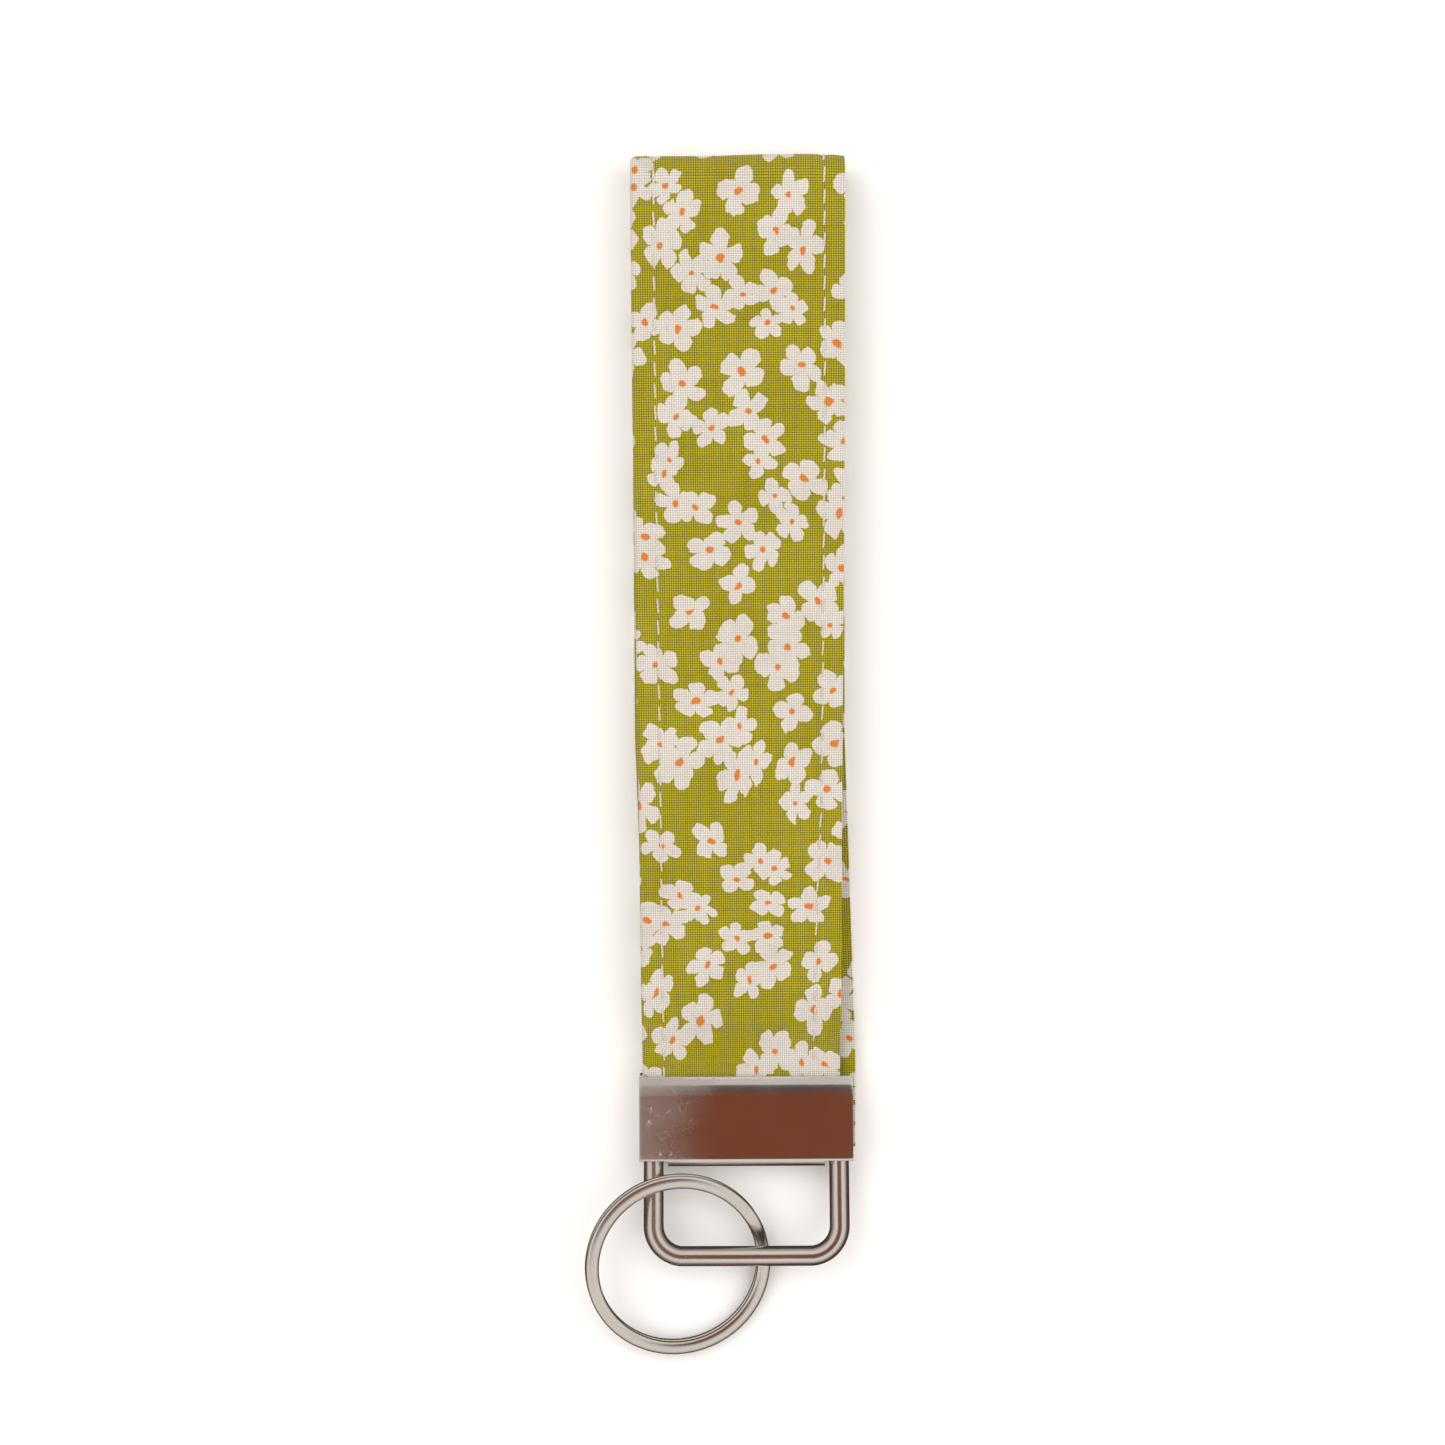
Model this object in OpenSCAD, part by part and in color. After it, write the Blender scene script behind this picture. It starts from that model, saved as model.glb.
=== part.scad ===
// Wristlet key fob: a padded cotton loop crimped in a sprung clamp, with a wire bail and a split ring.
// The fob lies on its back. The origin is the middle of the clamp's back face, +Z is up out of the
// clamp's front face, +Y runs along the strap to its fold and +X runs across the strap.

/* [Strap] */
// Width of the folded strap
strap_w = 31.6; // [24:0.1:40]
// Thickness of one leg of the strap, with its padding
strap_t = 2; // [1.6:0.1:2.6]
// Length of the loop from the clamp's mouth to the outside of the fold
loop_l = 138; // [100:1:180]
// Distance between the middles of the two legs as the loop lies on a table
leg_gap = 6.6; // [6.2:0.1:9]
// Length of the neck, where the two legs part
neck_l = 11.7; // [10:0.1:16]
// Thickness of the cotton layers on each face of a leg
cover_t = 0.5; // [0.3:0.05:0.6]
// Width of the folded cotton at each long edge, outside the padding
edge_w = 1; // [0.6:0.1:2]
// Distance of each row of stitches from the strap's edge
seam_in = 3.4; // [2.5:0.1:5]
// Width of a row of stitches
thread_w = 0.5; // [0.3:0.05:0.8]
// Height of a row of stitches above the cotton
thread_h = 0.15; // [0.1:0.05:0.25]

/* [Clamp] */
// Distance that each end of the clamp stands past the strap's edge
clamp_past = 0.2; // [0.1:0.05:1]
// Length of the clamp along the strap
clamp_l = 13.5; // [12:0.1:18]
// Thickness of the clamp's sheet metal
sheet_t = 0.8; // [0.6:0.05:1]
// Outer radius of the clamp's fold, at the bail's end
web_r = 2.2; // [1.6:0.1:3]
// Outer radius where the clamp's lips turn in
lip_r = 1.4; // [1:0.1:2]
// Space between the rows of stitches and the clamp's faces
clamp_fit = 0.15; // [0.05:0.05:0.4]
// Number of teeth on each lip
teeth = 9; // [5:1:13]
// Width of each tooth at its root
tooth_w = 1.2; // [0.8:0.1:1.6]

/* [Bail] */
// Diameter of the bail's wire
wire_d = 3; // [2.4:0.1:3.6]
// Distance of the bail's legs inside the clamp's ends
bail_inset = 0.55; // [0.3:0.05:1]
// Distance between the middles of the bail's two cross bars
bail_drop = 16; // [13:0.1:20]
// Outer radius of the bail's two free corners
bail_r = 6; // [4.5:0.1:8]
// Angle that the bail stands up from the clamp's plane as the fob lies on a table
bail_tilt = 8; // [4:0.5:12]
// Angle that the bail swings to each side of the clamp's plane
bail_swing = 28; // [15:1:32]

/* [Split ring] */
// Outer diameter of the split ring
ring_d = 28; // [22:0.5:34]
// Width of the ring's flat wire, across the ring
ring_w = 2; // [1.6:0.1:2.4]
// Thickness of one coil of the ring
coil_t = 0.98; // [0.8:0.02:1.1]
// Space between the two coils
coil_gap = 0.04; // [0.02:0.01:0.1]
// Distance of the ring's top edge from the clamp
ring_space = 0.85; // [0.5:0.05:3]
// Distance from the left leg's middle to the ring's middle, across the fob
ring_lap = 3.6; // [2:0.1:6]
// Space between the ring's middle line and the bail, past half their thickness, where they cross
rest_fit = 0.5; // [0.4:0.05:0.8]
// Angle of the step where the wire climbs from one coil to the other
step_a = 28; // [20:1:40]
// Direction in which the ring's split points
split_a = 20; // [0:5:90]

/* [Hidden] */
$fn = 64;
COTTON = [0.67, 0.66, 0.12];
FLEECE = [0.93, 0.92, 0.88];
THREAD = [0.95, 0.94, 0.9];
NICKEL = [0.72, 0.71, 0.7];
STEEL = [0.8, 0.8, 0.81];

// Strap: one leg is as thick as its cotton and padding, and the clamp holds two legs back to back
seam_x = strap_w / 2 - seam_in;
core_w = strap_w - 2 * edge_w;
hinge_fit = 0.3;                          // space round each rounded hinge end
hinge_r = strap_t / 2 + hinge_fit;
margin = hinge_r + cover_t;               // from a hinge to the padding and the stitches
pack_h = strap_t + thread_h;              // from the clamp's middle plane to a leg's outer face
mouth_out = 1.55;                         // from the clamp's mouth to the strap's first bend

// Clamp
clamp_w = strap_w + 2 * clamp_past;
clamp_t = 2 * (pack_h + thread_h + clamp_fit + sheet_t);
mid_z = clamp_t / 2;
lip_gap = pack_h + thread_h + 0.05;
tooth_x = seam_x - 2.4;                   // the outermost tooth stays clear of the stitches

// The strap's bends, from the clamp to the fold
mouth_y = clamp_l / 2 + mouth_out;
neck_y = mouth_y + neck_l;
fold_y = clamp_l / 2 + loop_l - (leg_gap + strap_t) / 2;
knee_y = (neck_y + fold_y) / 2;
back_z = strap_t / 2 + thread_h;
front_z = back_z + leg_gap;

// Bail: it turns about its upper bar, which lies in the clamp's fold
pivot_fit = 0.1;
leg_x = clamp_w / 2 - bail_inset - wire_d / 2;
pivot_y = -clamp_l / 2 + sheet_t + pivot_fit + wire_d / 2;
top_r = 2.2;                              // radius of the wire's middle line at the upper corners
low_r = bail_r - wire_d / 2;              // and at the free corners
bar_y = pivot_y - bail_drop * cos(bail_tilt);
bar_z = mid_z + bail_drop * sin(bail_tilt);
strap_end_y = pivot_y + wire_d / 2 + 0.4;
notch_in = 1.45;                          // depth of the notches, from where the wire starts to bend
notch_h = wire_d / 2 / cos(bail_swing) + 2 * tan(bail_swing);

// Ring: it lies over the bail's left leg and under its free bar, with its lowest edge on the table
ring_t = 2 * coil_t + coil_gap;
ring_r = (ring_d - ring_w) / 2;
ring_x = ring_lap - leg_x;
ring_y = -clamp_l / 2 - ring_space - ring_d / 2;
over_x = -ring_lap;
over_y = sqrt(ring_r ^ 2 - over_x ^ 2);
under_y = bar_y - ring_y;
under_x = sqrt(ring_r ^ 2 - under_y ^ 2);
function ring_z(tilt) = ring_d / 2 * sin(tilt) + ring_t / 2 * cos(tilt);
function stack(tilt) = (wire_d + ring_t) / 2 / cos(tilt) + rest_fit;
function leg_z(y) = mid_z + (pivot_y - y) * tan(bail_tilt);
// Rise from the ring's middle to where it crosses the leg and the bar
function over_rise(tilt) = leg_z(ring_y + over_y) + stack(tilt) - ring_z(tilt);
function under_rise(tilt) = bar_z - stack(tilt) - ring_z(tilt);
// Slopes of the ring's plane along X and Y that give those two rises
function slopes(tilt) =
    let (det = over_x * under_y - under_x * over_y,
         over = over_rise(tilt), under = under_rise(tilt))
    [(over * under_y - under * over_y) / det, (over_x * under - under_x * over) / det];
function settled(tilt, steps) =
    steps == 0 ? tilt : settled((tilt + atan(norm(slopes(tilt)))) / 2, steps - 1);
ring_tilt = settled(10, 12);
ring_slope = slopes(ring_tilt);

// A side view, drawn with Y to the right and Z up, made w wide across the strap
module across(w) rotate([90, 0, 90]) linear_extrude(w, center = true) children();

// The cotton is its side view (first child) less the pocket for the padding (second child)
module cover() color(COTTON) difference() {
    across(strap_w) children(0);
    across(core_w) children(1);
}
module core() color(FLEECE) across(core_w) children();
module rows() color(THREAD) for (side = [-1, 1])
    translate([side * seam_x, 0, 0]) across(thread_w) children();

// A bar in the side view, from y0 to y1 and z0 to z1
module bar(y0, y1, z0, z1) translate([y0, z0]) square([y1 - y0, z1 - z0]);

// Straight leg: a round end at y0 turns in the hollow end of the piece before it
module leg_outline(y0, y1, z) difference() {
    union() {
        bar(y0, y1, z - strap_t / 2, z + strap_t / 2);
        translate([y0, z]) circle(d = strap_t);
    }
    translate([y1, z]) circle(hinge_r);
}
module leg_pocket(y0, y1, z)
    bar(y0 + margin, y1 - margin, z - strap_t / 2 + cover_t, z + strap_t / 2 - cover_t);
// A row of stitches on the leg's upper face (side 1) or its lower face (side -1)
module leg_row(y0, y1, z, side) {
    face = z + side * strap_t / 2;
    bar(y0 + margin, y1 - margin, min(face, face + side * thread_h), max(face, face + side * thread_h));
}

// A bar between two distances from the clamp's middle plane, on the front leg's side (1) or the back's (-1)
module layer(y0, y1, side, h0, h1)
    bar(y0, y1, mid_z + min(side * h0, side * h1), mid_z + max(side * h0, side * h1));

// Ends in the clamp
end_y = mouth_y - pack_h - hinge_fit - cover_t;
module end_outline(side) difference() {
    layer(strap_end_y, clamp_l / 2 - 0.2, side, thread_h, pack_h);
    translate([mouth_y, mid_z]) circle(pack_h + hinge_fit);
}
module end_pocket(side) layer(strap_end_y + cover_t, end_y, side, thread_h + cover_t, pack_h - cover_t);
module end_row(side, height) layer(strap_end_y, end_y, side, height, height + thread_h);

// Neck: each leg slopes from the clamp's middle plane to its own height
module slope(y0, y1, side, h0, h1) {
    rise = side * ((side > 0 ? front_z : back_z) - mid_z) - strap_t / 2 - thread_h;
    function inner(y) = thread_h + rise * (y - mouth_y) / neck_l;
    h = side > 0 ? [h0, h1] : [h1, h0];
    corners = [[y0, h[0]], [y1, h[0]], [y1, h[1]], [y0, h[1]]];
    polygon([for (c = corners) [c[0], mid_z + side * (inner(c[0]) + c[1])]]);
}
module neck_outline(side) difference() {
    union() {
        slope(mouth_y, neck_y, side, 0, strap_t);
        intersection() {
            translate([mouth_y, mid_z]) circle(pack_h);
            layer(mouth_y - 2 * pack_h, mouth_y + cover_t, side, thread_h, 2 * pack_h);
        }
    }
    translate([neck_y, side > 0 ? front_z : back_z]) circle(hinge_r);
}
module neck_pocket(side) slope(mouth_y + cover_t, neck_y - margin, side, cover_t, strap_t - cover_t);
module neck_row(side, y0, height) slope(y0, neck_y - margin, side, height, height + thread_h);

// Fold: half a ring whose two ends turn in the hollow ends of the legs
module fold_band(inner, outer, y0) translate([fold_y, (front_z + back_z) / 2]) intersection() {
    difference() {
        circle(outer);
        circle(inner);
    }
    bar(y0, outer, -outer, outer);
}
fold_in = (leg_gap - strap_t) / 2;
fold_out = fold_in + strap_t;
module fold_outline() {
    fold_band(fold_in, fold_out, 0);
    for (z = [front_z, back_z]) translate([fold_y, z]) circle(d = strap_t);
}
module fold_pocket() fold_band(fold_in + cover_t, fold_out - cover_t, cover_t);
module fold_row(radius) fold_band(radius, radius + thread_h, cover_t);

module cover_end_front() cover() {
    end_outline(1);
    end_pocket(1);
}
module core_end_front() core() end_pocket(1);
module needle_thread_end_front() rows() end_row(1, pack_h);
module bobbin_thread_end_front() rows() end_row(1, 0);

module cover_end_back() cover() {
    end_outline(-1);
    end_pocket(-1);
}
module core_end_back() core() end_pocket(-1);
module needle_thread_end_back() rows() end_row(-1, pack_h);
module bobbin_thread_end_back() rows() end_row(-1, 0);

module cover_neck_front() cover() {
    neck_outline(1);
    neck_pocket(1);
}
module core_neck_front() core() neck_pocket(1);
module needle_thread_neck_front() rows() neck_row(1, mouth_y + cover_t, strap_t);
module bobbin_thread_neck_front() rows() neck_row(1, mouth_y + 4 * cover_t, -thread_h);

module cover_neck_back() cover() {
    neck_outline(-1);
    neck_pocket(-1);
}
module core_neck_back() core() neck_pocket(-1);
module needle_thread_neck_back() rows() neck_row(-1, mouth_y + cover_t, strap_t);
module bobbin_thread_neck_back() rows() neck_row(-1, mouth_y + 4 * cover_t, -thread_h);

module cover_front_lower() cover() {
    leg_outline(neck_y, knee_y, front_z);
    leg_pocket(neck_y, knee_y, front_z);
}
module core_front_lower() core() leg_pocket(neck_y, knee_y, front_z);
module needle_thread_front_lower() rows() leg_row(neck_y, knee_y, front_z, 1);
module bobbin_thread_front_lower() rows() leg_row(neck_y, knee_y, front_z, -1);

module cover_front_upper() cover() {
    leg_outline(knee_y, fold_y, front_z);
    leg_pocket(knee_y, fold_y, front_z);
}
module core_front_upper() core() leg_pocket(knee_y, fold_y, front_z);
module needle_thread_front_upper() rows() leg_row(knee_y, fold_y, front_z, 1);
module bobbin_thread_front_upper() rows() leg_row(knee_y, fold_y, front_z, -1);

module cover_fold() cover() {
    fold_outline();
    fold_pocket();
}
module core_fold() core() fold_pocket();
module needle_thread_fold() rows() fold_row(fold_out);
module bobbin_thread_fold() rows() fold_row(fold_in - thread_h);

module cover_back_upper() cover() {
    leg_outline(knee_y, fold_y, back_z);
    leg_pocket(knee_y, fold_y, back_z);
}
module core_back_upper() core() leg_pocket(knee_y, fold_y, back_z);
module needle_thread_back_upper() rows() leg_row(knee_y, fold_y, back_z, -1);
module bobbin_thread_back_upper() rows() leg_row(knee_y, fold_y, back_z, 1);

module cover_back_lower() cover() {
    leg_outline(neck_y, knee_y, back_z);
    leg_pocket(neck_y, knee_y, back_z);
}
module core_back_lower() core() leg_pocket(neck_y, knee_y, back_z);
module needle_thread_back_lower() rows() leg_row(neck_y, knee_y, back_z, -1);
module bobbin_thread_back_lower() rows() leg_row(neck_y, knee_y, back_z, 1);

// Clamp: one sheet folded into a channel, its lips turned in and cut into teeth that bite the strap
module rounded_bar(inset, fold_r, lip_r) {
    y0 = inset - clamp_l / 2;
    y1 = clamp_l / 2 - inset;
    z0 = inset;
    z1 = clamp_t - inset;
    bar(y0 + fold_r, y1 - lip_r, z0, z1);
    bar(y0, y1, z0 + max(fold_r, lip_r), z1 - max(fold_r, lip_r));
    for (z = [z0, z1]) {
        up = z == z0 ? 1 : -1;
        translate([y0 + fold_r, z + up * fold_r]) circle(fold_r);
        translate([y1 - lip_r, z + up * lip_r]) circle(lip_r);
    }
    bar(y1 - lip_r, y1, z0 + lip_r, z1 - lip_r);
}
module clamp_shell() color(NICKEL) {
    difference() {
        across(clamp_w) difference() {
            rounded_bar(0, web_r, lip_r);
            rounded_bar(sheet_t, web_r - sheet_t, lip_r - sheet_t);
            bar(0, clamp_l, mid_z - lip_gap, mid_z + lip_gap);
        }
        for (side = [-1, 1]) translate([side * (leg_x - top_r + clamp_w / 2), -clamp_l / 2, mid_z])
            cube([clamp_w, 2 * notch_in, 2 * notch_h], center = true);
    }
    for (n = [0 : teeth - 1], side = [-1, 1])
        translate([tooth_x * (2 * n / (teeth - 1) - 1), clamp_l / 2, mid_z]) rotate([90, 0, 0])
            linear_extrude(sheet_t) polygon([
                [-tooth_w / 2, side * (lip_gap + sheet_t / 2)],
                [-tooth_w / 2, side * lip_gap],
                [0, side * pack_h],
                [tooth_w / 2, side * lip_gap],
                [tooth_w / 2, side * (lip_gap + sheet_t / 2)]]);
}

// Bail: a closed rectangle of round wire
module wire_bend(r) rotate_extrude(angle = 90) translate([r, 0]) circle(d = wire_d);
module wire_bail() color(NICKEL) translate([0, pivot_y, mid_z]) rotate([-bail_tilt, 0, 0])
    for (side = [0, 1]) mirror([side, 0, 0]) {
        rotate([0, 90, 0]) cylinder(d = wire_d, h = leg_x - top_r);
        translate([leg_x - top_r, -top_r, 0]) wire_bend(top_r);
        translate([leg_x, -top_r, 0]) rotate([90, 0, 0]) cylinder(d = wire_d, h = bail_drop - top_r - low_r);
        translate([leg_x - low_r, low_r - bail_drop, 0]) rotate([0, 0, -90]) wire_bend(low_r);
        translate([0, -bail_drop, 0]) rotate([0, 90, 0]) cylinder(d = wire_d, h = leg_x - low_r);
    }

// Ring: flat wire wound nearly twice round, which steps from the lower coil to the upper one
coil_n = 56;                              // sections round each coil
step_n = 6;                               // sections along the step
function turns(start, sweep, count) = [for (n = [1 : count]) start + sweep * n / count];
function coil_z(turn) = (coil_t + coil_gap) / 2 * sin(min(90, max(-90, 180 * (turn - 360) / step_a)));
module flat_wire() {
    coil_a = 360 - step_a;
    path = concat([step_a / 2], turns(step_a / 2, coil_a, coil_n), turns(360 - step_a / 2, step_a, step_n),
        turns(360 + step_a / 2, coil_a, coil_n));
    corners = [[-ring_w, -coil_t], [ring_w, -coil_t], [ring_w, coil_t], [-ring_w, coil_t]] / 2;
    last = len(path) - 1;
    points = [for (a = path, c = corners)
        [(ring_r + c[0]) * cos(a), (ring_r + c[0]) * sin(a), coil_z(a) + c[1]]];
    sides = [for (n = [0 : last - 1], k = [0 : 3])
        [4 * n + k, 4 * n + (k + 1) % 4, 4 * n + 4 + (k + 1) % 4, 4 * n + 4 + k]];
    polyhedron(points, concat([[3, 2, 1, 0]], sides, [[for (k = [0 : 3]) 4 * last + k]]));
}
module split_ring() color(STEEL) translate([ring_x, ring_y, ring_z(ring_tilt)])
    rotate(a = ring_tilt, v = [ring_slope[1], -ring_slope[0], 0]) rotate([0, 0, split_a]) flat_wire();

clamp_shell();
wire_bail();
split_ring();
cover_end_front();
core_end_front();
needle_thread_end_front();
bobbin_thread_end_front();
cover_end_back();
core_end_back();
needle_thread_end_back();
bobbin_thread_end_back();
cover_neck_front();
core_neck_front();
needle_thread_neck_front();
bobbin_thread_neck_front();
cover_neck_back();
core_neck_back();
needle_thread_neck_back();
bobbin_thread_neck_back();
cover_front_lower();
core_front_lower();
needle_thread_front_lower();
bobbin_thread_front_lower();
cover_front_upper();
core_front_upper();
needle_thread_front_upper();
bobbin_thread_front_upper();
cover_fold();
core_fold();
needle_thread_fold();
bobbin_thread_fold();
cover_back_upper();
core_back_upper();
needle_thread_back_upper();
bobbin_thread_back_upper();
cover_back_lower();
core_back_lower();
needle_thread_back_lower();
bobbin_thread_back_lower();
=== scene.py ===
import math

import bpy
import numpy as np
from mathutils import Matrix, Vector


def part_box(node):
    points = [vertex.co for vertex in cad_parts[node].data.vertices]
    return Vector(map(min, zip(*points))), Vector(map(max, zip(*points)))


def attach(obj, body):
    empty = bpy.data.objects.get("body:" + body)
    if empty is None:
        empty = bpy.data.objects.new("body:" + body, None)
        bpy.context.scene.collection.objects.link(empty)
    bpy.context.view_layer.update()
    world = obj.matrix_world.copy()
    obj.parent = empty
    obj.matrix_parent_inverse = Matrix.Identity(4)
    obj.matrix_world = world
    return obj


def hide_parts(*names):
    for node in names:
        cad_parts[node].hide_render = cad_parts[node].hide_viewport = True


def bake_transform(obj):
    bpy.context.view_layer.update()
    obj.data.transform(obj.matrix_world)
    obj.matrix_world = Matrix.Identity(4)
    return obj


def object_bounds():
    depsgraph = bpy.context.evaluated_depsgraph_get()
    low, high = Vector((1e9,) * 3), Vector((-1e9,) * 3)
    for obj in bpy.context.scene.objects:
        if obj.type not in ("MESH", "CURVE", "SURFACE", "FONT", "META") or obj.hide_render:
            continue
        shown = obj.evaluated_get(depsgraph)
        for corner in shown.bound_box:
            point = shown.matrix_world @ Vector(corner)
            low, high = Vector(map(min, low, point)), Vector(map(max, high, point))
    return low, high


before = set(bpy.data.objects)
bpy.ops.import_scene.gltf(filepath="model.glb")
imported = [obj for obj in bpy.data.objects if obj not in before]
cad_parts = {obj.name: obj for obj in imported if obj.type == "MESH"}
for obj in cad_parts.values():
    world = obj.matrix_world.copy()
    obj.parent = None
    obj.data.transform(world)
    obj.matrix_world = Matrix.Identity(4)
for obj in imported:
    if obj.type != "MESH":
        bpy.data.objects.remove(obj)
cad_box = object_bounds()

# Cotton strip: one strip of printed cotton, 127 mm wide, folded in four along its length over the padding
# and bent into a loop. It is made as eight stretches round the loop.
MM = 0.001
STRIP_W = 127 * MM
CLOTH_T = 0.2 * MM
leg_low, leg_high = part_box("cover_front_lower")
back_low, back_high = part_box("cover_back_lower")
fold_low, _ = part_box("cover_fold")
end_low, end_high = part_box("cover_end_front")
clamp_low, clamp_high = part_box("clamp_shell")
half_w = (leg_high.x - leg_low.x) / 2
half_t = (leg_high.z - leg_low.z) / 2
front_z = (leg_low.z + leg_high.z) / 2
back_z = (back_low.z + back_high.z) / 2
mid_z = (clamp_low.z + clamp_high.z) / 2
neck_y = leg_low.y + half_t
fold_y = fold_low.y + half_t
knee_y = (neck_y + fold_y) / 2
held_z = (end_low.z + end_high.z) / 2 - mid_z      # from the clamp's middle plane to a held leg's middle
mouth_y = clamp_high.y + 0.4 * MM
BACK_END_Y = -4.4 * MM                             # the back leg reaches down behind the bail's bar
TUCK_Y = 1.5 * MM                                  # where it starts to thin down on its way there
TUCK_L = 4 * MM                                    # the length over which it thins
TUCK_Z = 1.13 * MM                                 # its middle behind the bar
TUCK_SHARE = 0.3                                   # and its thickness, as a share of the leg's
BITE = 0.5                                         # share of a leg's thickness that the clamp's lips press in
BITE_W = 1.6 * MM                                  # how far along the leg the press reaches, each way
LEG_STEPS = 2400                                   # places at which the route is worked out, on each leg
TURN_STEPS = 400                                   # and round the fold


def ease(t):
    t = np.clip(t, 0, 1)
    return t * t * (3 - 2 * t)


def loop_route():
    """The strap's middle line, from its front end round the fold to its back end.

    Gives the distance along it, its Y and Z, and the leg's thickness there as a share of the full one.
    """
    front_y = np.linspace(end_low.y, fold_y, LEG_STEPS)
    rise = ease((front_y - mouth_y) / (neck_y + MM - mouth_y))
    front = mid_z + held_z + (front_z - mid_z - held_z) * rise
    turn = np.linspace(0, math.pi, TURN_STEPS)[1:-1]
    radius = (front_z - back_z) / 2
    back_y = np.linspace(fold_y, BACK_END_Y, LEG_STEPS)
    rise = ease((back_y - mouth_y) / (neck_y + MM - mouth_y))
    tuck = ease((TUCK_Y - back_y) / TUCK_L)
    back = mid_z - held_z + (back_z - mid_z + held_z) * rise
    back = back + (TUCK_Z - back) * tuck
    y = np.concatenate([front_y, fold_y + radius * np.sin(turn), back_y])
    z = np.concatenate([front, (front_z + back_z) / 2 + radius * np.cos(turn), back])
    share = np.concatenate([np.ones(len(front_y) + len(turn)), 1 + (TUCK_SHARE - 1) * tuck])
    share = share * (1 - BITE * np.exp(-((y - clamp_high.y) / BITE_W) ** 2))
    step = np.hypot(np.diff(y), np.diff(z))
    return np.concatenate([[0], np.cumsum(step)]), y, z, share


route_s, route_y, route_z, route_share = loop_route()
tangent_y = np.gradient(route_y, route_s)
tangent_z = np.gradient(route_z, route_s)
loop_l = route_s[-1]
apex_s = route_s[np.argmax(route_y)]


def along(y, leg):
    """Distance along the strap to the place on the front (1) or back (-1) leg that is at y."""
    on_leg = route_s <= apex_s if leg > 0 else route_s >= apex_s
    order = np.argsort(route_y[on_leg])
    return float(np.interp(y, route_y[on_leg][order], route_s[on_leg][order]))


# The front leg draws in towards the clamp, and the back leg was clamped a little to the right of it
slack_s = [0, along(10 * MM, 1), along(45 * MM, 1), along(107 * MM, 1), apex_s, along(20 * MM, -1), loop_l]
slack_w = [0.94, 0.94, 0.96, 1.006, 1.02, 1, 1]
shift_s = [0, apex_s, along(58 * MM, -1), along(12 * MM, -1), loop_l]
shift_x = np.array([-0.65, -0.65, -0.65, 0.8, 0.8]) * MM
bow_s = [0, along(14 * MM, 1), along(45 * MM, 1), apex_s - 8 * MM, apex_s, loop_l]
bow_h = np.array([0, 0.15, 0.45, 0.1, 0, 0]) * MM
WAVE = 0.07 * MM                                   # height of the cloth's waves, away from the clamp
PITCH = 3.2 * MM                                   # length of a stitch


def on_strap(s, x, h):
    """Points of the bent strap from places along it, across it and out from its middle layer, in metres."""
    s, x, h = np.broadcast_arrays(s, x, h)
    normal_y = -np.interp(s, route_s, tangent_z)
    normal_z = np.interp(s, route_s, tangent_y)
    size = np.hypot(normal_y, normal_z)
    out = h * np.interp(s, route_s, route_share)
    out = out + np.interp(s, bow_s, bow_h) * (1 - (x / half_w) ** 2)
    free = ease((np.interp(s, route_s, route_y) - 2 * mouth_y) / (6 * mouth_y))
    out = out + WAVE * free * (np.sin(s * 210 + x * 160) + np.sin(s * 97 - x * 230 + 1.3))
    across = np.interp(s, shift_s, shift_x) + x * np.interp(s, slack_s, slack_w)
    return np.stack([
        across,
        np.interp(s, route_s, route_y) + out * normal_y / size,
        np.interp(s, route_s, route_z) + out * normal_z / size,
    ], axis=-1)


# Each row of stitches pulls all the layers in, most at the needle's holes. The right row wanders a little.
SEAM_X = 12.4 * MM
seam_s = [0, along(8 * MM, 1), along(33 * MM, 1), along(48 * MM, 1), along(110 * MM, 1), apex_s, loop_l]
seam_right = np.array([11.4, 11.4, 11.8, 12.5, 12.7, 12.6, 12.4]) * MM
OUTER_H = half_t - CLOTH_T / 2                     # the outer layer's middle, out from the strap's middle
INNER_H = OUTER_H - 0.28 * MM                      # and the turned-in layer's
CROWN = 0.05                                       # how much plumper a leg is along its middle
EDGE_X = 13.2 * MM                                 # outside this, it thins towards its long edges
EDGE_W = 2.6 * MM
EDGE_THIN = 0.16
PULL = 0.3                                         # share of its thickness that a leg loses at a hole
PULL_W = 0.75 * MM                                 # how far the pull reaches, each way
BETWEEN_HOLES = 0.48                               # share of that pull halfway between two holes


def seam_at(side, s):
    return np.interp(s, seam_s, seam_right) if side > 0 else -SEAM_X + 0 * s


def plump(s, x):
    """Share of a layer's full height at a place on the strap."""
    height = 1 + CROWN * (1 - (x / half_w) ** 2) - EDGE_THIN * ease((np.abs(x) - EDGE_X) / EDGE_W)
    for side in (-1, 1):
        away = (x - seam_at(side, s)) / PULL_W
        holes = (1 + BETWEEN_HOLES - (1 - BETWEEN_HOLES) * np.cos(2 * math.pi * s / PITCH)) / 2
        height = height - PULL * np.exp(-away ** 2) * holes
    return height


def run(*stops):
    """Places from stop to stop, each given as (how many steps, where to)."""
    places = [stops[0]]
    for count, end in stops[1:]:
        places += list(np.linspace(places[-1], end, count + 1)[1:])
    return places


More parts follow.
